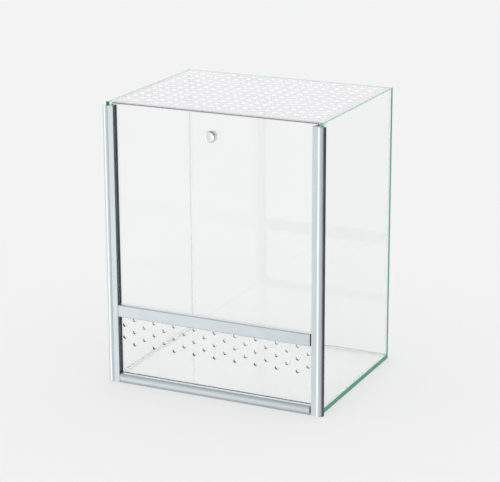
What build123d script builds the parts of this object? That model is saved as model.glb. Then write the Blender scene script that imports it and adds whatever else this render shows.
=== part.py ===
from build123d import *
from math import cos, radians
import os

# Glass small-animal cage with a lift-up front door. Millimetres, +Z up, -Y is the front.
# Origin: middle of the footprint, on the floor. X is the width, Y the depth.

# ---- driving dimensions ----
WIDTH = 245.0            # over the outer sides of the two front posts
DEPTH = 187.6            # from the crest of the bottom rail to the back glass
HEIGHT = 300.0           # floor to the top edge of the glass

WALL_GLASS = 4.0         # side and back glass
BASE_GLASS = 5.0         # floor glass
GLASS_ARRIS = 0.4        # sharp edges ground off the glass
PLATE = 3.0              # acrylic of the door, the vent panel and the top plate
PLATE_ARRIS = 0.3
GLASS_INSET = 3.0        # the glass box is this much narrower than the posts, each side

POST_WIDTH = 13.2        # front width of a post
POST_HEIGHT = 296.5
NOSE_WIDTH = 7.2         # rounded outer part of a post
NOSE_DEPTH = 3.7         # how far its side goes back
NOSE_PROUD = 0.7         # its crest stands this far in front of the flat strip
NOSE_CREST = 4.68        # from the outer side of the post to that crest
NOSE_START = 2.96        # its curve starts this far behind the flat strip
STRIP_ROUND = 0.4        # front corner of the strip, on the door's side
LIP_DEPTH = 4.5          # front lip of the track, and what the lip hides of the door
TRACK_GAP = 3.6          # width of the track that the door runs in
TRACK_WALL = 1.2
TRACK_FLOOR = 8.4        # bottom of the track, from the outer side of the post
BOND = 0.2               # thickness of a bond line

DOOR_PLAY = 0.3          # play of the door in the track, each face
DOOR_EDGE = 9.0          # side edge of the door and vent panel, from the outer side
DOOR_TOP = 298.6
SLOT_FIT = 0.05          # play of the vent panel in the rail slots, each face

RAIL_GAP = 0.7           # between a rail's end and the post
MID_RAIL_Z = 73.1
MID_RAIL_HEIGHT = 12.9
MID_RAIL_PROUD = 0.8     # front of the rail in front of the posts' flat strip
MID_RAIL_ROUND = 0.9     # its two front edges
MID_WEB_Z = 79.4         # underside of the web between the rail's two slots
WEB = 1.2                # thickness of that web
REAR_LIP_DROP = 2.0      # the lip behind the door stops this far under the rail's top
BOTTOM_RAIL_HEIGHT = 9.9
BOTTOM_RAIL_PROUD = 1.2  # crest of its convex front
BOTTOM_RAIL_ROUND = 0.5  # how far the top and bottom of that front fall back
RAIL_WALL = 1.3
RAIL_FLOOR = 1.3         # metal under the vent panel

HOLE_DIAMETER = 4.0
HOLE_PITCH = 13.4        # every hole to its six neighbours
HOLE_COLUMNS = 9         # columns each side of the middle one
VENT_HOLE_Z = 42.8       # lowest row of the vent panel
VENT_HOLE_ROWS = 5       # half-pitch rows
TOP_HOLE_Y = 19.0        # first row of the top plate, from the post fronts
TOP_HOLE_ROWS = 24       # half-pitch rows

KNOB_DIAMETER = 12.0
KNOB_DEPTH = 5.4
KNOB_Z = 275.3
KNOB_ROUND = 1.5         # its front rim
KNOB_BREAK = 0.4         # its rear rim
DISH_RADIUS = 30.0       # hollow in its front
DISH_DEPTH = 0.3
PAD_DIAMETER = 9.0
PAD_THICKNESS = 0.5

SEAM = 1.8               # leg of the clear silicone seams
SEAM_HOLLOW = 3.96       # radius of their hollow faces
SEAM_END = 0.3           # how far a seam stops short of the next one
TOP_SEAM_START = 4.0     # from the top plate's front edge to the start of its side seams
RAIL_BOND_END = 2.0      # the bottom rail's bond line stops this far short of its ends
RAIL_BOND_EDGE = 0.5     # and this far short of the base glass's faces

CUT = 1.0                # how far a cut runs past the surface it opens

# ---- places worked out from them ----
LEFT = -WIDTH / 2        # outer side of the left post
FRONT = -DEPTH / 2 + BOTTOM_RAIL_PROUD               # plane of the posts' flat strips
BACK = DEPTH / 2
GLASS_LEFT = LEFT + GLASS_INSET
GLASS_RIGHT = -GLASS_LEFT
INNER_LEFT = GLASS_LEFT + WALL_GLASS
INNER_BACK = BACK - WALL_GLASS
GLASS_FRONT = FRONT + NOSE_DEPTH + 2 * BOND
TRACK_BACK = FRONT + LIP_DEPTH + TRACK_GAP           # rear face of the track
POST_BACK = TRACK_BACK + TRACK_WALL
BASE_FRONT = POST_BACK + BOND
DOOR_FRONT = FRONT + LIP_DEPTH + DOOR_PLAY
DOOR_BACK = DOOR_FRONT + PLATE
PLATE_FRONT = DOOR_BACK + 2 * DOOR_PLAY
DOOR_BOTTOM = MID_WEB_Z + WEB + DOOR_PLAY
RAIL_HALF = WIDTH / 2 - POST_WIDTH - RAIL_GAP
PANEL_HALF = WIDTH / 2 - DOOR_EDGE
COLUMN_STEP = HOLE_PITCH * cos(radians(30))
ROW_STEP = HOLE_PITCH / 2

os.makedirs("parts", exist_ok=True)


def save(part, name):
    part.label = name
    export_step(part, "parts/" + name + ".step")


def block(x0, x1, y0, y1, z0, z1):
    """A box between two corners."""
    return Pos((x0 + x1) / 2, (y0 + y1) / 2, (z0 + z1) / 2) * Box(x1 - x0, y1 - y0, z1 - z0)


def pane(x0, x1, y0, y1, z0, z1, arris):
    """A cut pane with its sharp edges taken off."""
    solid = block(x0, x1, y0, y1, z0, z1)
    return chamfer(solid.edges(), arris)


def mirrored(solid):
    """The same piece on the other side of the middle."""
    return mirror(solid, about=Plane.YZ)


def staggered_holes(rows):
    """Hole centres (x, row): neighbouring columns are half a pitch apart."""
    spots = []
    for column in range(-HOLE_COLUMNS, HOLE_COLUMNS + 1):
        for row in range(rows):
            if (row + column) % 2 == 0:
                spots.append((column * COLUMN_STEP, row * ROW_STEP))
    return spots


# ---- glass box ----
def base_glass():
    return pane(GLASS_LEFT, GLASS_RIGHT, BASE_FRONT, BACK, 0, BASE_GLASS, GLASS_ARRIS)


def side_glass():
    return pane(GLASS_LEFT, INNER_LEFT, GLASS_FRONT, INNER_BACK, BASE_GLASS, HEIGHT, GLASS_ARRIS)


def back_glass():
    return pane(GLASS_LEFT, GLASS_RIGHT, INNER_BACK, BACK, BASE_GLASS, HEIGHT, GLASS_ARRIS)


def top_plate():
    plate = pane(INNER_LEFT + BOND, -INNER_LEFT - BOND, PLATE_FRONT, INNER_BACK - BOND,
                 HEIGHT - PLATE, HEIGHT, PLATE_ARRIS)
    spots = [(x, FRONT + TOP_HOLE_Y + step) for x, step in staggered_holes(TOP_HOLE_ROWS)]
    holes = Locations([(x, y, HEIGHT - PLATE / 2) for x, y in spots])
    return plate - holes * Cylinder(HOLE_DIAMETER / 2, PLATE + 2 * CUT)


# ---- front frame ----
def post():
    """Left corner post: rounded nose, flat strip, and the track that the door runs in."""
    side = LEFT
    crest = (side + NOSE_CREST, FRONT - NOSE_PROUD)
    nose_start = (side, FRONT + NOSE_START)
    nose_end = (side + NOSE_WIDTH, FRONT)
    strip_end = (side + POST_WIDTH, FRONT)
    web_out = side + TRACK_FLOOR - TRACK_WALL
    track_front = FRONT + LIP_DEPTH
    outline = [
        strip_end,
        (side + POST_WIDTH, track_front),
        (side + TRACK_FLOOR, track_front),
        (side + TRACK_FLOOR, TRACK_BACK),
        (side + POST_WIDTH, TRACK_BACK),
        (side + POST_WIDTH, POST_BACK),
        (web_out, POST_BACK),
        (web_out, FRONT + NOSE_DEPTH),
        (side, FRONT + NOSE_DEPTH),
        nose_start,
    ]
    with BuildSketch() as section:
        with BuildLine():
            ThreePointArc(nose_start, crest, nose_end)
            Line(nose_end, strip_end)
            Polyline(*outline)
        make_face()
    solid = extrude(section.sketch, POST_HEIGHT)
    front_corner = solid.edges().filter_by(Axis.Z).sort_by_distance((*strip_end, POST_HEIGHT / 2))[0]
    return fillet(front_corner, STRIP_ROUND)


def rail(section):
    """A rail along X from its YZ section."""
    plane = Plane(origin=(-RAIL_HALF, 0, 0), x_dir=(0, 1, 0), z_dir=(1, 0, 0))
    return extrude(plane * section, 2 * RAIL_HALF)


def rect(y0, y1, z0, z1):
    return Pos((y0 + y1) / 2, (z0 + z1) / 2) * Rectangle(y1 - y0, z1 - z0)


def mid_rail():
    """Hollow front box, lower slot for the vent panel, upper slot for the door."""
    front = FRONT - MID_RAIL_PROUD
    top = MID_RAIL_Z + MID_RAIL_HEIGHT
    box_back = FRONT + LIP_DEPTH
    body = rect(front, POST_BACK, MID_RAIL_Z, top)
    body = fillet(body.vertices().group_by(Axis.X)[0], MID_RAIL_ROUND)
    chamber = rect(front + RAIL_WALL, box_back - RAIL_WALL,
                   MID_RAIL_Z + RAIL_WALL, top - RAIL_WALL)
    door_slot = rect(box_back, TRACK_BACK, MID_WEB_Z + WEB, top + CUT)
    over_lip = rect(TRACK_BACK, POST_BACK, top - REAR_LIP_DROP, top + CUT)
    vent_slot = rect(DOOR_FRONT - SLOT_FIT, DOOR_BACK + SLOT_FIT, MID_RAIL_Z - CUT, MID_WEB_Z)
    return rail(body - chamber - door_slot - over_lip - vent_slot)


def bottom_rail():
    """Convex front box and the slot that the vent panel stands in."""
    top = BOTTOM_RAIL_HEIGHT
    low, high = (FRONT + BOTTOM_RAIL_ROUND, 0), (FRONT + BOTTOM_RAIL_ROUND, top)
    crest = (FRONT - BOTTOM_RAIL_PROUD, top / 2)
    with BuildSketch() as front:
        with BuildLine():
            ThreePointArc(low, crest, high)
            Polyline(high, (POST_BACK, top), (POST_BACK, 0), low)
        make_face()
    chamber = rect(FRONT + RAIL_WALL, FRONT + LIP_DEPTH - RAIL_WALL, RAIL_WALL, top - RAIL_WALL)
    vent_slot = rect(DOOR_FRONT - SLOT_FIT, DOOR_BACK + SLOT_FIT, RAIL_FLOOR, top + CUT)
    return rail(front.sketch - chamber - vent_slot)


def vent_panel():
    panel = pane(-PANEL_HALF, PANEL_HALF, DOOR_FRONT, DOOR_BACK,
                 RAIL_FLOOR + BOND, MID_WEB_Z - BOND, PLATE_ARRIS)
    middle = (DOOR_FRONT + DOOR_BACK) / 2
    spots = [(x, middle, VENT_HOLE_Z + step) for x, step in staggered_holes(VENT_HOLE_ROWS)]
    return panel - Locations(spots) * (Rot(90, 0, 0) * Cylinder(HOLE_DIAMETER / 2, PLATE + 2 * CUT))


# ---- door ----
def door_panel():
    return pane(-PANEL_HALF, PANEL_HALF, DOOR_FRONT, DOOR_BACK, DOOR_BOTTOM, DOOR_TOP, PLATE_ARRIS)


def knob_pad():
    place = Pos(0, DOOR_FRONT - PAD_THICKNESS / 2, KNOB_Z) * Rot(90, 0, 0)
    return place * Cylinder(PAD_DIAMETER / 2, PAD_THICKNESS)


def knob():
    """Short turned disc with rounded rims and a slight dish in its front."""
    radius = KNOB_DIAMETER / 2
    body = Cylinder(radius, KNOB_DEPTH)
    body = fillet(body.edges().sort_by(Axis.Z)[-1], KNOB_ROUND)
    body = chamfer(body.edges().sort_by(Axis.Z)[0], KNOB_BREAK)
    dish = Pos(0, 0, KNOB_DEPTH / 2 + DISH_RADIUS - DISH_DEPTH) * Sphere(DISH_RADIUS)
    front = DOOR_FRONT - PAD_THICKNESS
    return Pos(0, front - KNOB_DEPTH / 2, KNOB_Z) * Rot(90, 0, 0) * (body - dish)


# ---- seams and bonds ----
def seam_section():
    """A silicone fillet: two legs and a hollow face, with its corner at 0,0."""
    with BuildSketch() as section:
        with BuildLine():
            RadiusArc((SEAM, 0), (0, SEAM), SEAM_HOLLOW)
            Polyline((0, SEAM), (0, 0), (SEAM, 0))
        make_face()
    return section.sketch


def seam(start, end, leg_a, leg_b):
    """A seam along start-end, with its legs along leg_a and leg_b."""
    line = Vector(*end) - Vector(*start)
    plane = Plane(origin=start, x_dir=leg_a, z_dir=line.normalized())
    section = seam_section()
    if plane.y_dir.dot(Vector(*leg_b)) < 0:
        section = mirror(section, about=Plane.XZ)
    return extrude(plane * section, line.length)


def floor_seam_side():
    return seam((INNER_LEFT, BASE_FRONT, BASE_GLASS),
                (INNER_LEFT, INNER_BACK - SEAM - SEAM_END, BASE_GLASS), (1, 0, 0), (0, 0, 1))


def floor_seam_back():
    return seam((INNER_LEFT + SEAM + SEAM_END, INNER_BACK, BASE_GLASS),
                (-INNER_LEFT - SEAM - SEAM_END, INNER_BACK, BASE_GLASS), (0, -1, 0), (0, 0, 1))


def corner_seam():
    return seam((INNER_LEFT, INNER_BACK, BASE_GLASS),
                (INNER_LEFT, INNER_BACK, HEIGHT - PLATE - BOND), (1, 0, 0), (0, -1, 0))


def top_seam_side():
    under = HEIGHT - PLATE
    return seam((INNER_LEFT, PLATE_FRONT + TOP_SEAM_START, under),
                (INNER_LEFT, INNER_BACK - SEAM - SEAM_END, under), (1, 0, 0), (0, 0, -1))


def top_seam_back():
    under = HEIGHT - PLATE
    return seam((INNER_LEFT + SEAM + SEAM_END, INNER_BACK, under),
                (-INNER_LEFT - SEAM - SEAM_END, INNER_BACK, under), (0, -1, 0), (0, 0, -1))


def post_bond():
    """L-shaped bond line between a post and the front edge of the side glass."""
    web_out = LEFT + TRACK_FLOOR - TRACK_WALL
    along_front = block(GLASS_LEFT, INNER_LEFT, FRONT + NOSE_DEPTH, GLASS_FRONT, BASE_GLASS, POST_HEIGHT)
    along_web = block(INNER_LEFT, web_out, FRONT + NOSE_DEPTH, POST_BACK, BASE_GLASS, POST_HEIGHT)
    return along_front + along_web


def rail_bond():
    half = RAIL_HALF - RAIL_BOND_END
    return block(-half, half, POST_BACK, BASE_FRONT, RAIL_BOND_EDGE, BASE_GLASS - RAIL_BOND_EDGE)


save(base_glass(), "base_glass")
save(side_glass(), "left_glass")
save(mirrored(side_glass()), "right_glass")
save(back_glass(), "back_glass")
save(top_plate(), "top_plate")
save(post(), "left_post")
save(mirrored(post()), "right_post")
save(mid_rail(), "mid_rail")
save(bottom_rail(), "bottom_rail")
save(vent_panel(), "vent_panel")
save(door_panel(), "door_panel")
save(knob(), "knob")
save(knob_pad(), "knob_pad")
save(floor_seam_side(), "floor_seam_left")
save(mirrored(floor_seam_side()), "floor_seam_right")
save(floor_seam_back(), "floor_seam_back")
save(corner_seam(), "corner_seam_left")
save(mirrored(corner_seam()), "corner_seam_right")
save(top_seam_side(), "top_seam_left")
save(mirrored(top_seam_side()), "top_seam_right")
save(top_seam_back(), "top_seam_back")
save(post_bond(), "post_bond_left")
save(mirrored(post_bond()), "post_bond_right")
save(rail_bond(), "rail_bond")
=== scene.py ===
import random
from math import cos, pi, radians, sin

import bmesh
import bpy
from mathutils import Matrix, Vector
from mathutils.geometry import tessellate_polygon
from mathutils.noise import noise


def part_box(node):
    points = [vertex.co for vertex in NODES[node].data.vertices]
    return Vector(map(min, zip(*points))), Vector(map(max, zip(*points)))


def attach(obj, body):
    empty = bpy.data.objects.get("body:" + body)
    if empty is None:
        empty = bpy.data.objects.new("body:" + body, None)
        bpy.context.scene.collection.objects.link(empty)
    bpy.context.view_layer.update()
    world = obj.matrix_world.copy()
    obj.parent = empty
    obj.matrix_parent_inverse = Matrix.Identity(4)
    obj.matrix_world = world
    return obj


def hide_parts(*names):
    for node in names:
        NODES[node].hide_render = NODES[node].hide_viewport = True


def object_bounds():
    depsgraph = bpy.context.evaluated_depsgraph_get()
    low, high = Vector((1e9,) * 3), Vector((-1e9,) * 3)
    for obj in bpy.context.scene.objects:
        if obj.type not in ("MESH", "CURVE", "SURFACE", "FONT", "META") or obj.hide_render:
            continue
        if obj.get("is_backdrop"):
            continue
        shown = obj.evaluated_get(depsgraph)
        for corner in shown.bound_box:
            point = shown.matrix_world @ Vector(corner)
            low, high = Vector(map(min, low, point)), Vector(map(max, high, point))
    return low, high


# Looks of the glass cage with an aluminium front frame. Metres, +Z up, -Y is the front.

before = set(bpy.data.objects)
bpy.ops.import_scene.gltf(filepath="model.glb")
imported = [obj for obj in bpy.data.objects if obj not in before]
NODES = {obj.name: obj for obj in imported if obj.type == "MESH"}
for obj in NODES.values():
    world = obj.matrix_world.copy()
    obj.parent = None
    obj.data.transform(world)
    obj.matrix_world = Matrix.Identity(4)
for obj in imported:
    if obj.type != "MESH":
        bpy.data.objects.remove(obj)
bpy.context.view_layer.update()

# ---- sizes of the visible detail ----
GLUE = 0.00004           # gap left round each pane, where the thin glue line is
GLASS_ARRIS = 0.00045    # ground edge of the glass
PLATE_ARRIS = 0.00028    # scraped edge of the acrylic
HOLE_RIM = 0.00018       # broken rim of a drilled hole
CORNER = 0.0004          # radius of a pane's corners
END_BREAK = 0.00012      # filed edge at the sawn ends of the extrusions
SEAM_WAVE = 0.04         # how much the silicone seams swell and thin
ARC_STEPS = 3            # steps of a rounded edge
HOLE_STEPS = 28
KNOB_STEPS = 96
HOLE_MARGIN = 0.002      # vertices this near a plate's outline belong to the outline
HOLE_REACH = 0.006       # vertices this near one another belong to one hole
SEAM_STEP = 0.004        # length of a seam between two of its sections
BOND_STEP = 0.006
KNOB_DISH = 0.0003       # hollow in the knob's front
KNOB_LIP = 0.0045        # radius where the front starts to round
KNOB_RIM = 0.0015        # radius of that rounding
KNOB_BREAK = 0.0004      # its rear rim
KNOB_GROOVE = 0.00025    # depth of the groove round its side
FACING_PITCH = 0.00018   # spacing of the turning marks on its front
PAD_BREAK = 0.0001
FLOOR_HALF = 12.0
FLOOR_Z = -0.0001

# ---- colours ----
FRONT_METAL = ((0.66, 0.725, 0.755, 1), (0.71, 0.77, 0.795, 1))
DIE_LINE = (0.57, 0.625, 0.655, 1)
# the next two colours are painted shade for the extrusions' faces that point back and sideways
PAINTED_REAR_SHADE = (0.34, 0.365, 0.38, 1)
PAINTED_FLANK_SHADE = (0.085, 0.105, 0.115, 1)
SAWN_METAL = (0.42, 0.45, 0.47, 1)
KNOB_METAL = ((0.80, 0.82, 0.83, 1), (0.87, 0.885, 0.89, 1))
ROOM_LIGHT = 1.055       # the studio, for all but mirrored rays
MIRROR_LIGHT = 0.83      # and for mirrored rays, before the patches below
DARKEST = 0.03
PATCHES = (
    # direction, sharpness, brightness it adds for mirrored rays
    ((-0.78, -0.55, -0.29), 13.0, 1.6),
    ((0.95, 0.10, -0.28), 2.5, -1.0),
    ((0.62, -0.15, 0.77), 1.0, -1.6),
    ((-0.62, 0.72, -0.35), 14.0, -0.45),
    ((-0.41, 0.86, 0.29), 8.0, 0.40),
    ((-0.41, -0.40, 0.82), 3.0, -0.30),
    ((0.0, 0.0, -1.0), 3.0, -0.55),
)

# ---- camera ----
AZIMUTH = 25.531
ELEVATION = 16.640
ROLL = -0.228
DISTANCE = 1.909381
SIDEWAYS = 0.001096      # the view's centre, right of and above the middle of the cage
UPWARDS = 0.006229
LENS = 131.34
SENSOR = 36.0


# ---- materials ----
def add(tree, kind, links=None, **settings):
    """A node with its settings, its socket values and its incoming links."""
    node = tree.nodes.new(kind)
    for key, value in settings.items():
        setattr(node, key, value)
    for key, value in (links or {}).items():
        socket = node.inputs[key]
        if isinstance(value, bpy.types.NodeSocket):
            tree.links.new(value, socket)
        else:
            socket.default_value = value
    return node


def math(tree, operation, a, b=0.0, clamp=False):
    node = add(tree, "ShaderNodeMath", {0: a, 1: b}, operation=operation, use_clamp=clamp)
    return node.outputs[0]


def ramp(tree, value, low, high, to_low=0.0, to_high=1.0):
    """value between low and high, spread over to_low to to_high."""
    node = add(tree, "ShaderNodeMapRange", {"Value": value, "From Min": low, "From Max": high,
                                            "To Min": to_low, "To Max": to_high})
    return node.outputs["Result"]


def blend_colours(tree, share, a, b):
    node = add(tree, "ShaderNodeMix", {0: share, 6: a, 7: b}, data_type="RGBA")
    return node.outputs[2]


def stretched_noise(tree, stretch, scale, detail=3.0):
    """Noise in object space, stretched along the axes where stretch is small."""
    place = add(tree, "ShaderNodeTexCoord").outputs["Object"]
    mapped = add(tree, "ShaderNodeMapping", {"Vector": place, "Scale": stretch}).outputs[0]
    node = add(tree, "ShaderNodeTexNoise", {"Vector": mapped, "Scale": scale, "Detail": detail})
    return node.outputs[0]


def bump(tree, height, distance, strength=1.0):
    node = add(tree, "ShaderNodeBump", {"Height": height, "Distance": distance, "Strength": strength})
    return node.outputs[0]


def blank(name):
    material = bpy.data.materials.new(name)
    material.use_nodes = True
    material.node_tree.nodes.clear()
    return material, material.node_tree


def output(tree, shader):
    add(tree, "ShaderNodeOutputMaterial", {"Surface": shader})


def frosted(name, tint, shade):
    """The rough wall of a drilled hole, which scatters white and glows faintly with painted light."""
    material, tree = blank(name)
    cloud = stretched_noise(tree, (1, 1, 1), 400, 3.0)
    threads = stretched_noise(tree, (0.1, 0.1, 1), 6000, 2.0)
    # painted light: the wall also glows faintly in its own tint (Emission Strength 0.2)
    body = add(tree, "ShaderNodeBsdfPrincipled", {
        "Base Color": blend_colours(tree, ramp(tree, cloud, 0.3, 0.7), tint, shade),
        "Roughness": ramp(tree, threads, 0.3, 0.7, 0.35, 0.6),
        "Emission Color": tint, "Emission Strength": 0.2,
        "Normal": bump(tree, threads, 0.00001)})
    output(tree, body.outputs[0])
    return material


def clear_sheet(name, tint, shade, ior, wave):
    """A clear pane: slightly wavy, tinted, and open to the light that falls through it."""
    material, tree = blank(name)
    wander = stretched_noise(tree, (1, 1, 1), 14, 2.0)
    colour = blend_colours(tree, ramp(tree, wander, 0.3, 0.7), tint, shade)
    body = add(tree, "ShaderNodeBsdfPrincipled", {
        "Base Color": colour, "Roughness": 0.0, "IOR": ior, "Transmission Weight": 1.0,
        "Normal": bump(tree, wander, wave)})
    let_light = add(tree, "ShaderNodeBsdfTransparent", {"Color": (1, 1, 1, 1)})
    path = add(tree, "ShaderNodeLightPath")
    mix = add(tree, "ShaderNodeMixShader", {0: path.outputs["Is Shadow Ray"], 1: body.outputs[0],
                                            2: let_light.outputs[0]})
    output(tree, mix.outputs[0])
    return material


def cut_edge(name, axis, low, high, colours, roughness, inside):
    """The cut edge of a sheet: deep in the middle of its thickness, paler at the two arrises.
    An edge that faces up has painted light and shade: a pale middle between painted dark arrises. From within
    the sheet an edge is mostly clear, and inside says how much of its colour shows."""
    deep, pale, top_middle, top_rim = colours
    material, tree = blank(name)
    place = add(tree, "ShaderNodeTexCoord").outputs["Object"]
    across = add(tree, "ShaderNodeSeparateXYZ", {0: place}).outputs[axis]
    share = ramp(tree, across, low, high, -1.0, 1.0)
    rim = math(tree, "POWER", math(tree, "ABSOLUTE", share), 5.0)
    cloud = stretched_noise(tree, (1, 1, 1), 60, 4.0)
    patch = ramp(tree, cloud, 0.35, 0.65, 0.0, 0.15)
    mixed = math(tree, "MAXIMUM", math(tree, "MULTIPLY", rim, 0.6), patch)
    grind = stretched_noise(tree, (1, 1, 1), 900, 2.0)
    facing = add(tree, "ShaderNodeNewGeometry")
    upwards = add(tree, "ShaderNodeSeparateXYZ", {0: facing.outputs["True Normal"]}).outputs[2]
    # painted light and shade: edges whose normal points up take the top colours, a paler middle and dark
    # arrises, by their direction
    painted_top_share = 0.0 if axis == 2 else ramp(tree, upwards, 0.2, 0.45)
    beside = blend_colours(tree, mixed, deep, pale)
    arris_shade_and_patches = math(tree, "MAXIMUM", rim, math(tree, "MULTIPLY", patch, 0.4))
    above = blend_colours(tree, arris_shade_and_patches, top_middle, top_rim)
    body = add(tree, "ShaderNodeBsdfPrincipled", {
        "Base Color": blend_colours(tree, painted_top_share, beside, above),
        "Roughness": ramp(tree, grind, 0.3, 0.7, roughness * 0.7, roughness * 1.3),
        "IOR": 1.3, "Coat Weight": 0.05, "Coat Roughness": 0.1,
        "Normal": bump(tree, grind, 0.00002)})
    within = add(tree, "ShaderNodeBsdfTransparent", {"Color": (0.97, 0.99, 0.98, 1)})
    shown = ramp(tree, math(tree, "ABSOLUTE", upwards), 0.0, 1.0, inside, min(1.0, inside + 0.45))
    share = math(tree, "MULTIPLY", facing.outputs["Backfacing"], math(tree, "SUBTRACT", 1.0, shown))
    mix = add(tree, "ShaderNodeMixShader", {0: share, 1: body.outputs[0], 2: within.outputs[0]})
    output(tree, mix.outputs[0])
    return material


def aluminium(name, along, side_shade_and_sawn_tone):
    """Satin anodised extrusion with die lines along its length. Faces pointing sideways take the given side
    colour, which is painted shade on the flanks of posts and rails and the bare tone of sawn rail ends; faces
    pointing back take a painted grey shade.
    """
    material, tree = blank(name)
    fine = [1.0, 1.0, 1.0]
    fine[along] = 0.012
    lines = stretched_noise(tree, fine, 2600, 3.0)
    cloud = stretched_noise(tree, (1, 1, 1), 45, 4.0)
    normal = add(tree, "ShaderNodeNewGeometry").outputs["True Normal"]
    split = add(tree, "ShaderNodeSeparateXYZ", {0: normal})
    # painted shade: faces pointing along X and faces pointing back are darkened by their direction; on the
    # sawn ends the faces along X take the sawn tone instead
    facing_sideways = ramp(tree, math(tree, "ABSOLUTE", split.outputs[0]), 0.93, 0.985)
    rear = ramp(tree, split.outputs[1], 0.93, 0.985)
    front = blend_colours(tree, ramp(tree, cloud, 0.3, 0.7), *FRONT_METAL)
    streaked = blend_colours(tree, ramp(tree, lines, 0.35, 0.65, 0.0, 0.5), front, DIE_LINE)
    sides = blend_colours(tree, facing_sideways, streaked, side_shade_and_sawn_tone)
    rough = math(tree, "ADD", ramp(tree, cloud, 0.3, 0.7, 0.30, 0.38),
                 ramp(tree, lines, 0.3, 0.7, -0.03, 0.03))
    body = add(tree, "ShaderNodeBsdfPrincipled", {
        "Base Color": blend_colours(tree, rear, sides, PAINTED_REAR_SHADE),
        "Metallic": 1.0,
        "Roughness": rough,
        "Anisotropic": 0.25,
        "Normal": bump(tree, lines, 0.000004)})
    output(tree, body.outputs[0])
    return material


def turned_metal(name, centre):
    """Polished turned metal with fine facing marks round its axis."""
    material, tree = blank(name)
    place = add(tree, "ShaderNodeTexCoord").outputs["Object"]
    away = add(tree, "ShaderNodeVectorMath", {0: place, 1: centre}, operation="SUBTRACT").outputs[0]
    flat = add(tree, "ShaderNodeVectorMath", {0: away, 1: (1, 0, 1)}, operation="MULTIPLY").outputs[0]
    radius = add(tree, "ShaderNodeVectorMath", {0: flat}, operation="LENGTH").outputs["Value"]
    rings = math(tree, "SINE", math(tree, "MULTIPLY", radius, 2 * pi / FACING_PITCH))
    cloud = stretched_noise(tree, (1, 1, 1), 500, 3.0)
    body = add(tree, "ShaderNodeBsdfPrincipled", {
        "Base Color": blend_colours(tree, ramp(tree, cloud, 0.3, 0.7), *KNOB_METAL),
        "Metallic": 1.0,
        "Roughness": ramp(tree, cloud, 0.3, 0.7, 0.07, 0.13),
        "Anisotropic": 0.2,
        "Normal": bump(tree, rings, 0.0000015)})
    output(tree, body.outputs[0])
    return material


def clear_rubber(name, tint, shade):
    """Clear silicone or adhesive: soft-edged, a little cloudy, with tiny bubbles."""
    material, tree = blank(name)
    cloud = stretched_noise(tree, (1, 1, 1), 160, 4.0)
    cells = add(tree, "ShaderNodeTexVoronoi", {"Scale": 900}).outputs["Distance"]
    bubbles = ramp(tree, cells, 0.0, 0.25, 1.0, 0.0)
    colour = blend_colours(tree, ramp(tree, cloud, 0.3, 0.7), tint, shade)
    body = add(tree, "ShaderNodeBsdfPrincipled", {
        "Base Color": colour, "Roughness": 0.08, "IOR": 1.12, "Transmission Weight": 0.9,
        "Normal": bump(tree, math(tree, "ADD", cloud, math(tree, "MULTIPLY", bubbles, 0.3)), 0.000003)})
    let_light = add(tree, "ShaderNodeBsdfTransparent", {"Color": shade})
    path = add(tree, "ShaderNodeLightPath")
    mix = add(tree, "ShaderNodeMixShader", {0: path.outputs["Is Shadow Ray"], 1: body.outputs[0],
                                            2: let_light.outputs[0]})
    output(tree, mix.outputs[0])
    return material


GLASS = clear_sheet("float_glass", (0.998, 1.0, 0.999, 1), (0.99, 0.998, 0.994, 1), 1.5, 0.00001)
ACRYLIC = clear_sheet("clear_acrylic", (1.0, 1.0, 1.0, 1), (0.99, 0.992, 0.992, 1), 1.49, 0.00001)
TOP_ACRYLIC = clear_sheet("top_acrylic", (0.74, 0.72, 0.75, 1), (0.70, 0.685, 0.71, 1), 1.49, 0.00001)
SILICONE = clear_rubber("clear_silicone", (0.96, 0.98, 0.97, 1), (0.92, 0.95, 0.94, 1))
GLOWING_FROSTED = frosted("frosted_glowing_holes", (0.97, 0.965, 0.975, 1), (0.90, 0.895, 0.91, 1))
DRILLED = clear_sheet("drilled_acrylic", (0.93, 0.94, 0.94, 1), (0.88, 0.89, 0.89, 1), 1.49, 0.00004)
# deep and pale of an edge, then the painted light and shade of an edge that faces up: its middle and its rim
GREEN = ((0.03, 0.25, 0.13, 1), (0.24, 0.54, 0.40, 1), (0.60, 0.78, 0.70, 1), (0.06, 0.13, 0.10, 1))
# the same float glass as GREEN, painted paler as if more light fell on it; used for the right pane
PAINTED_LIT_GREEN = ((0.30, 0.55, 0.43, 1), (0.50, 0.72, 0.62, 1), (0.60, 0.78, 0.70, 1), (0.06, 0.13, 0.10, 1))
GREY = ((0.16, 0.175, 0.18, 1), (0.45, 0.47, 0.47, 1), (0.18, 0.19, 0.20, 1), (0.07, 0.08, 0.08, 1))
PALE = ((0.93, 0.92, 0.94, 1), (0.97, 0.96, 0.98, 1), (0.90, 0.90, 0.91, 1), (0.75, 0.76, 0.77, 1))


# ---- mesh building ----
def finish_mesh(name, points, faces, slots, materials, body, nodes, flats=(), angle=35):
    """The mesh as an object that rides a body and stands for some CAD nodes. The faces in flats stay flat."""
    mesh = bpy.data.meshes.new(name)
    mesh.from_pydata([tuple(p) for p in points], [], faces)
    for material in materials:
        mesh.materials.append(material)
    mesh.polygons.foreach_set("material_index", slots)
    work = bmesh.new()
    work.from_mesh(mesh)
    bmesh.ops.recalc_face_normals(work, faces=work.faces)
    work.to_mesh(mesh)
    work.free()
    mesh.shade_smooth()
    mesh.set_sharp_from_angle(angle=radians(angle))
    for number in flats:
        mesh.polygons[number].use_smooth = False
    piece = bpy.data.objects.new(name, mesh)
    bpy.context.scene.collection.objects.link(piece)
    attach(piece, body)
    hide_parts(*nodes)
    return piece


def placed(axis, t, a, b):
    """The point at t along axis and a, b along the other two."""
    values = [a, b]
    values.insert(axis, t)
    return Vector(values)


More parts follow.
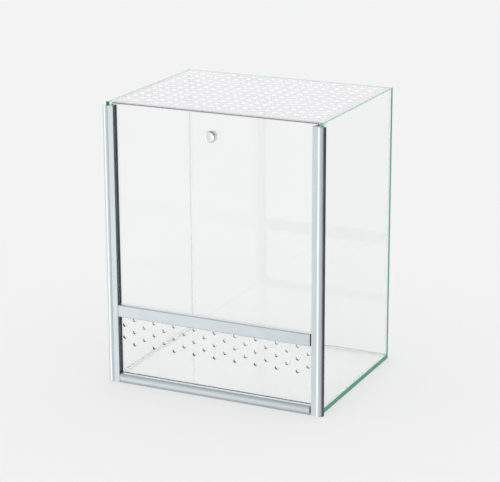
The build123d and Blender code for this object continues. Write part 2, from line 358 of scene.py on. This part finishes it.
def rounded_rectangle(a0, a1, b0, b1, radius):
    """A closed outline with round corners, counter-clockwise."""
    outline = []
    for a, b, start in ((a1, b1, 0), (a0, b1, 90), (a0, b0, 180), (a1, b0, 270)):
        centre_a = a - radius if a == a1 else a + radius
        centre_b = b - radius if b == b1 else b + radius
        for step in range(ARC_STEPS + 1):
            turn = radians(start + 90 * step / ARC_STEPS)
            outline.append((centre_a + radius * cos(turn), centre_b + radius * sin(turn)))
    return outline


def circle(centre, radius, steps):
    return [(centre[0] + radius * cos(2 * pi * i / steps), centre[1] + radius * sin(2 * pi * i / steps))
            for i in range(steps)]


def edge_levels(low, high, arris):
    """(height, inset) pairs up one side of a sheet with its edges rounded."""
    turns = [radians(90 * step / ARC_STEPS) for step in range(ARC_STEPS + 1)]
    bottom = [(low + arris * (1 - cos(turn)), arris * (1 - sin(turn))) for turn in turns]
    top = [(high - arris * (1 - cos(turn)), arris * (1 - sin(turn))) for turn in reversed(turns)]
    return bottom + top


def wall(points, faces, slots, loops, slot):
    """Quads between one loop of points and the next. Returns the first and the last loop's numbers."""
    numbers = []
    for loop in loops:
        numbers.append(list(range(len(points), len(points) + len(loop))))
        points.extend(loop)
    for lower, upper in zip(numbers, numbers[1:]):
        for i in range(len(lower)):
            j = (i + 1) % len(lower)
            faces.append((lower[i], lower[j], upper[j], upper[i]))
            slots.append(slot)
    return numbers[0], numbers[-1]


def cap(points, faces, slots, loops, slot):
    """Triangles that fill the first loop round the others. Returns their numbers."""
    numbers = [n for loop in loops for n in loop]
    first = len(faces)
    for triangle in tessellate_polygon([[points[n] for n in loop] for loop in loops]):
        faces.append(tuple(numbers[i] for i in triangle))
        slots.append(slot)
    return list(range(first, len(faces)))


def hole_centres(node, axis):
    """Centres, across axis, of the round holes through a CAD plate, with their radius."""
    low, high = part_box(node)
    others = [i for i in range(3) if i != axis]
    groups = []
    for vertex in NODES[node].data.vertices:
        spot = Vector([vertex.co[i] for i in others])
        if any(abs(spot[k] - edge[i]) < HOLE_MARGIN for k, i in enumerate(others) for edge in (low, high)):
            continue
        home = next((g for g in groups if (g[0] - spot).length < HOLE_REACH), None)
        if home is None:
            groups.append([spot])
        else:
            home.append(spot)
    centres = []
    for group in groups:
        lows = [min(p[k] for p in group) for k in (0, 1)]
        highs = [max(p[k] for p in group) for k in (0, 1)]
        centres.append(((lows[0] + highs[0]) / 2, (lows[1] + highs[1]) / 2))
    first = groups[0] if groups else [Vector((0, 0))]
    radius = (max(p[0] for p in first) - min(p[0] for p in first)) / 2
    return centres, radius


def sheet(node, body, face, colours, roughness, inside, arris, drilled=None):
    """A flat sheet with clear faces, ground or scraped edges and, where drilled is a material, its holes."""
    low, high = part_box(node)
    low, high = low + Vector((GLUE,) * 3), high - Vector((GLUE,) * 3)
    size = high - low
    axis = min(range(3), key=lambda i: size[i])
    others = [i for i in range(3) if i != axis]
    a0, a1, b0, b1 = low[others[0]], high[others[0]], low[others[1]], high[others[1]]
    edge = cut_edge(node + "_edge", axis, low[axis], high[axis], colours, roughness, inside)
    points, faces, slots = [], [], []
    loops = []
    for t, inset in edge_levels(low[axis], high[axis], arris):
        outline = rounded_rectangle(a0 + inset, a1 - inset, b0 + inset, b1 - inset, CORNER)
        loops.append([placed(axis, t, a, b) for a, b in outline])
    first, last = wall(points, faces, slots, loops, 1)
    band = ARC_STEPS * len(first)
    flats = list(range(band, band + len(first)))
    bottoms, tops = [first], [last]
    centres, radius = hole_centres(node, axis) if drilled else ([], 0)
    for centre in centres:
        loops = []
        for t, inset in edge_levels(low[axis], high[axis], HOLE_RIM):
            ring = circle(centre, radius + inset, HOLE_STEPS)
            loops.append([placed(axis, t, a, b) for a, b in ring])
        first, last = wall(points, faces, slots, loops, 2)
        bottoms.append(first)
        tops.append(last)
    flats += cap(points, faces, slots, bottoms, 0)
    flats += cap(points, faces, slots, tops, 0)
    materials = [face, edge, drilled] if drilled else [face, edge]
    return finish_mesh(node + "_sheet", points, faces, slots, materials, body, [node], flats, 40)


def end_outlines(node, axis):
    """The closed outlines of a CAD extrusion's low end, material on the left of each."""
    mesh = NODES[node].data
    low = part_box(node)[0][axis]
    others = [i for i in range(3) if i != axis]

    def key(index):
        co = mesh.vertices[index].co
        return (round(co[others[0]], 7), round(co[others[1]], 7))

    ways = set()
    for polygon in mesh.polygons:
        if all(abs(mesh.vertices[i].co[axis] - low) < 1e-6 for i in polygon.vertices):
            ring = [key(i) for i in polygon.vertices]
            ways.update(zip(ring, ring[1:] + ring[:1]))
    following = {a: b for a, b in ways if (b, a) not in ways}
    outlines = []
    while following:
        start = next(iter(following))
        outline = [start]
        spot = following.pop(start)
        while spot != start:
            outline.append(spot)
            spot = following.pop(spot)
        outlines.append(outline)
    return outlines


def area(outline):
    return sum(a[0] * b[1] - b[0] * a[1] for a, b in zip(outline, outline[1:] + outline[:1])) / 2


def inset_outline(outline, distance, side):
    """The outline moved into the material by a small distance."""
    moved = []
    for before, spot, after in zip(outline[-1:] + outline[:-1], outline, outline[1:] + outline[:1]):
        into = (Vector(spot) - Vector(before)).normalized()
        out = (Vector(after) - Vector(spot)).normalized()
        normal = Vector((-into.y - out.y, into.x + out.x)) * side
        moved.append(tuple(Vector(spot) + normal.normalized() * distance))
    return moved


def long_sides(outline):
    """The straight sides of an outline: each is far longer than a step of the curve beside it."""
    lengths = [(Vector(b) - Vector(a)).length for a, b in zip(outline, outline[1:] + outline[:1])]
    return [i for i, length in enumerate(lengths)
            if length > 2.2 * min(lengths[i - 1], lengths[(i + 1) % len(lengths)])]


def extrusion(node, body, axis, materials):
    """A metal profile with its sawn ends filed."""
    low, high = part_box(node)
    outlines = end_outlines(node, axis)
    side = 1 if area(max(outlines, key=lambda o: abs(area(o)))) > 0 else -1
    points, faces, slots, flats = [], [], [], []
    firsts, lasts = [], []
    for outline in sorted(outlines, key=lambda o: -abs(area(o))):
        inner = inset_outline(outline, END_BREAK, side)
        flats += [len(faces) + len(outline) + i for i in long_sides(outline)]
        loops = []
        for t, ring in ((low[axis], inner), (low[axis] + END_BREAK, outline),
                        (high[axis] - END_BREAK, outline), (high[axis], inner)):
            loops.append([placed(axis, t, a, b) for a, b in ring])
        first, last = wall(points, faces, slots, loops, 0)
        firsts.append(first)
        lasts.append(last)
    flats += cap(points, faces, slots, firsts, 1)
    flats += cap(points, faces, slots, lasts, 1)
    return finish_mesh(node + "_profile", points, faces, slots, materials, body, [node], flats, 28)


def seam(node, corner):
    """A silicone seam that swells and thins along its length, drawn a hair off the glass."""
    low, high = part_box(node)
    size = high - low
    axis = max(range(3), key=lambda i: size[i])
    others = [i for i in range(3) if i != axis]
    outline = end_outlines(node, axis)[0]
    origin = Vector([(low, high)[corner[k]][i] for k, i in enumerate(others)])
    inward = Vector([1 if corner[k] == 0 else -1 for k in (0, 1)]) * 2 * GLUE
    steps = int(size[axis] / SEAM_STEP)
    seed = random.Random(node).random() * 50
    loops = []
    for step in range(steps + 1):
        t = low[axis] + GLUE + (size[axis] - 2 * GLUE) * step / steps
        swell = 1 - SEAM_WAVE + SEAM_WAVE * noise(Vector((t * 60, seed, 0)))
        ring = [origin + inward + (Vector(spot) - origin) * swell for spot in outline]
        loops.append([placed(axis, t, *spot) for spot in ring])
    points, faces, slots = [], [], []
    first, last = wall(points, faces, slots, loops, 0)
    cap(points, faces, slots, [first], 0)
    cap(points, faces, slots, [last], 0)
    return finish_mesh(node + "_bead", points, faces, slots, [SILICONE], "cage", [node])


def bond(node, axis, material):
    """A thin bond line, a hair smaller than the gap that it fills."""
    low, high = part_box(node)
    outline = end_outlines(node, axis)[0]
    side = 1 if area(outline) > 0 else -1
    steps = max(2, int((high - low)[axis] / BOND_STEP))
    loops = []
    for step in range(steps + 1):
        t = low[axis] + GLUE + (high[axis] - low[axis] - 2 * GLUE) * step / steps
        shrink = GLUE * (1.2 + 0.4 * noise(Vector((t * 90, 3, 1))))
        loops.append([placed(axis, t, *spot) for spot in inset_outline(outline, shrink, side)])
    points, faces, slots = [], [], []
    first, last = wall(points, faces, slots, loops, 0)
    cap(points, faces, slots, [first], 0)
    cap(points, faces, slots, [last], 0)
    return finish_mesh(node + "_line", points, faces, slots, [material], "cage", [node])


def turned(node, outline, material):
    """A body of revolution about the Y axis from (radius, y) pairs, front to back."""
    low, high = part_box(node)
    centre = (low + high) / 2
    points, faces, slots = [], [], []
    loops = []
    for radius, y in outline:
        ring = circle((centre.x, centre.z), radius, KNOB_STEPS)
        loops.append([Vector((a, y, b)) for a, b in ring])
    first, last = wall(points, faces, slots, loops, 0)
    faces.append(tuple(first))
    faces.append(tuple(last))
    slots.extend((0, 0))
    return finish_mesh(node + "_turned", points, faces, slots, [material], "door", [node], (), 25)


# ---- glass box ----
def build_glass():
    # the right pane's edges get painted light: the paler copy of the green
    for node, inside, colours in (("base_glass", 0.6, GREEN), ("left_glass", 0.15, GREEN),
                                  ("right_glass", 0.15, PAINTED_LIT_GREEN), ("back_glass", 0.12, GREEN)):
        sheet(node, "cage", GLASS, colours, 0.22, inside, GLASS_ARRIS)


def build_acrylic():
    sheet("top_plate", "cage", TOP_ACRYLIC, PALE, 0.3, 0.2, PLATE_ARRIS, GLOWING_FROSTED)
    sheet("vent_panel", "cage", ACRYLIC, GREY, 0.3, 0.3, PLATE_ARRIS, DRILLED)
    sheet("door_panel", "door", ACRYLIC, GREY, 0.3, 0.3, PLATE_ARRIS)


# ---- front frame ----
def build_frame():
    # painted shade on the sideways faces of the posts and rails; the sawn ends keep their sawn tone
    upright = aluminium("satin_aluminium_posts", 2, PAINTED_FLANK_SHADE)
    level = aluminium("satin_aluminium_rails", 0, PAINTED_FLANK_SHADE)
    sawn = aluminium("sawn_aluminium", 1, SAWN_METAL)
    extrusion("left_post", "cage", 2, [upright, sawn])
    extrusion("right_post", "cage", 2, [upright, sawn])
    extrusion("mid_rail", "cage", 0, [level, sawn])
    extrusion("bottom_rail", "cage", 0, [level, sawn])


# ---- knob ----
def build_knob():
    low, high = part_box("knob")
    radius = (high.x - low.x) / 2
    depth = high.y - low.y
    groove_radius = radius - KNOB_GROOVE
    outline = []
    for step in range(6):
        share = step / 5
        outline.append((0.0002 + (KNOB_LIP - 0.0004) * share, low.y + KNOB_DISH * (1 - share * share)))
    for step in range(9):
        turn = radians(90 * step / 8)
        outline.append((radius - KNOB_RIM * (1 - sin(turn)), low.y + KNOB_RIM * (1 - cos(turn))))
    outline += [(radius, low.y + 0.62 * depth), (groove_radius, low.y + 0.66 * depth),
                (groove_radius, low.y + 0.72 * depth), (radius, low.y + 0.76 * depth),
                (radius, high.y - KNOB_BREAK), (radius - KNOB_BREAK, high.y)]
    turned("knob", outline, turned_metal("turned_knob", (low + high) / 2))
    low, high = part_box("knob_pad")
    radius = (high.x - low.x) / 2 - GLUE
    outline = [(radius - PAD_BREAK, low.y + GLUE), (radius, low.y + 0.00015), (radius, high.y - 0.00015),
               (radius - PAD_BREAK, high.y - GLUE)]
    pad = clear_rubber("clear_pad", (0.92, 0.95, 0.95, 1), (0.84, 0.88, 0.88, 1))
    turned("knob_pad", outline, pad)


# ---- seams and bonds ----
def build_seams():
    corners = {"floor_seam_left": (0, 0), "floor_seam_right": (1, 0), "floor_seam_back": (1, 0),
               "corner_seam_left": (0, 1), "corner_seam_right": (1, 1),
               "top_seam_left": (0, 1), "top_seam_right": (1, 1), "top_seam_back": (1, 1)}
    for node, corner in corners.items():
        seam(node, corner)
    glue = clear_rubber("bond_glue", (0.90, 0.95, 0.93, 1), (0.82, 0.88, 0.86, 1))
    bond("post_bond_left", 2, glue)
    bond("post_bond_right", 2, glue)
    bond("rail_bond", 0, glue)


# ---- stage ----
def world_light():
    """An even white studio. Mirrored rays see brighter and darker patches in it, which shade the metal."""
    world = bpy.data.worlds.new("studio")
    bpy.context.scene.world = world
    world.use_nodes = True
    tree = world.node_tree
    tree.nodes.clear()
    way = add(tree, "ShaderNodeTexCoord").outputs["Generated"]
    total = MIRROR_LIGHT
    for direction, sharpness, gain in PATCHES:
        unit = Vector(direction).normalized()
        along = add(tree, "ShaderNodeVectorMath", {0: way, 1: unit}, operation="DOT_PRODUCT").outputs["Value"]
        near = math(tree, "POWER", math(tree, "MAXIMUM", along, 0.0), sharpness * 2)
        total = math(tree, "ADD", math(tree, "MULTIPLY", near, gain), total)
    total = math(tree, "MAXIMUM", total, DARKEST)
    reflected = add(tree, "ShaderNodeBackground", {"Color": (1, 1, 1, 1), "Strength": total})
    room = add(tree, "ShaderNodeBackground", {"Color": (1, 1, 1, 1), "Strength": ROOM_LIGHT})
    path = add(tree, "ShaderNodeLightPath")
    glossy, refracted = path.outputs["Is Glossy Ray"], path.outputs["Is Transmission Ray"]
    mirrored = math(tree, "SUBTRACT", glossy, refracted, True)
    mix = add(tree, "ShaderNodeMixShader", {0: mirrored, 1: room.outputs[0], 2: reflected.outputs[0]})
    add(tree, "ShaderNodeOutputWorld", {"Surface": mix.outputs[0]})


def floor():
    """A pale, mostly self-lit table, so that it stays even and almost without shadow."""
    mesh = bpy.data.meshes.new("floor")
    corners = [(a * FLOOR_HALF, b * FLOOR_HALF, FLOOR_Z) for a, b in ((-1, -1), (1, -1), (1, 1), (-1, 1))]
    mesh.from_pydata(corners, [], [(0, 1, 2, 3)])
    material, tree = blank("studio_floor")
    paper = add(tree, "ShaderNodeBsdfDiffuse", {"Color": (0.85, 0.85, 0.855, 1)})
    glow = add(tree, "ShaderNodeEmission", {"Color": (0.896, 0.896, 0.90, 1), "Strength": 1.0})
    table = add(tree, "ShaderNodeMixShader", {0: 0.6, 1: paper.outputs[0], 2: glow.outputs[0]})
    output(tree, table.outputs[0])
    mesh.materials.append(material)
    plane = bpy.data.objects.new("studio_floor", mesh)
    plane.visible_glossy = False
    bpy.context.scene.collection.objects.link(plane)
    plane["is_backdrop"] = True


def camera():
    azimuth, elevation, roll = radians(AZIMUTH), radians(ELEVATION), radians(ROLL)
    back = Vector((sin(azimuth) * cos(elevation), -cos(azimuth) * cos(elevation), sin(elevation)))
    right = (-back).cross(Vector((0, 0, 1))).normalized()
    up = right.cross(-back)
    rolled_right = right * cos(roll) + up * sin(roll)
    rolled_up = up * cos(roll) - right * sin(roll)
    low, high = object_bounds()
    middle = (Vector(low) + Vector(high)) / 2
    spot = middle - rolled_right * SIDEWAYS - rolled_up * UPWARDS + back * DISTANCE
    data = bpy.data.cameras.new("camera")
    data.lens = LENS
    data.sensor_width = SENSOR
    view = bpy.data.objects.new("camera", data)
    view.matrix_world = Matrix((
        (rolled_right.x, rolled_up.x, back.x, spot.x),
        (rolled_right.y, rolled_up.y, back.y, spot.y),
        (rolled_right.z, rolled_up.z, back.z, spot.z),
        (0, 0, 0, 1)))
    bpy.context.scene.collection.objects.link(view)
    bpy.context.scene.camera = view


def light_paths():
    """Plain colours, and enough bounces for the many clear sheets one behind another."""
    scene = bpy.context.scene
    scene.view_settings.view_transform = "Standard"
    scene.cycles.max_bounces = 32
    scene.cycles.transmission_bounces = 32
    scene.cycles.glossy_bounces = 12
    scene.cycles.diffuse_bounces = 4
    scene.cycles.transparent_max_bounces = 48


build_glass()
build_acrylic()
build_frame()
build_knob()
build_seams()
world_light()
floor()
camera()
light_paths()
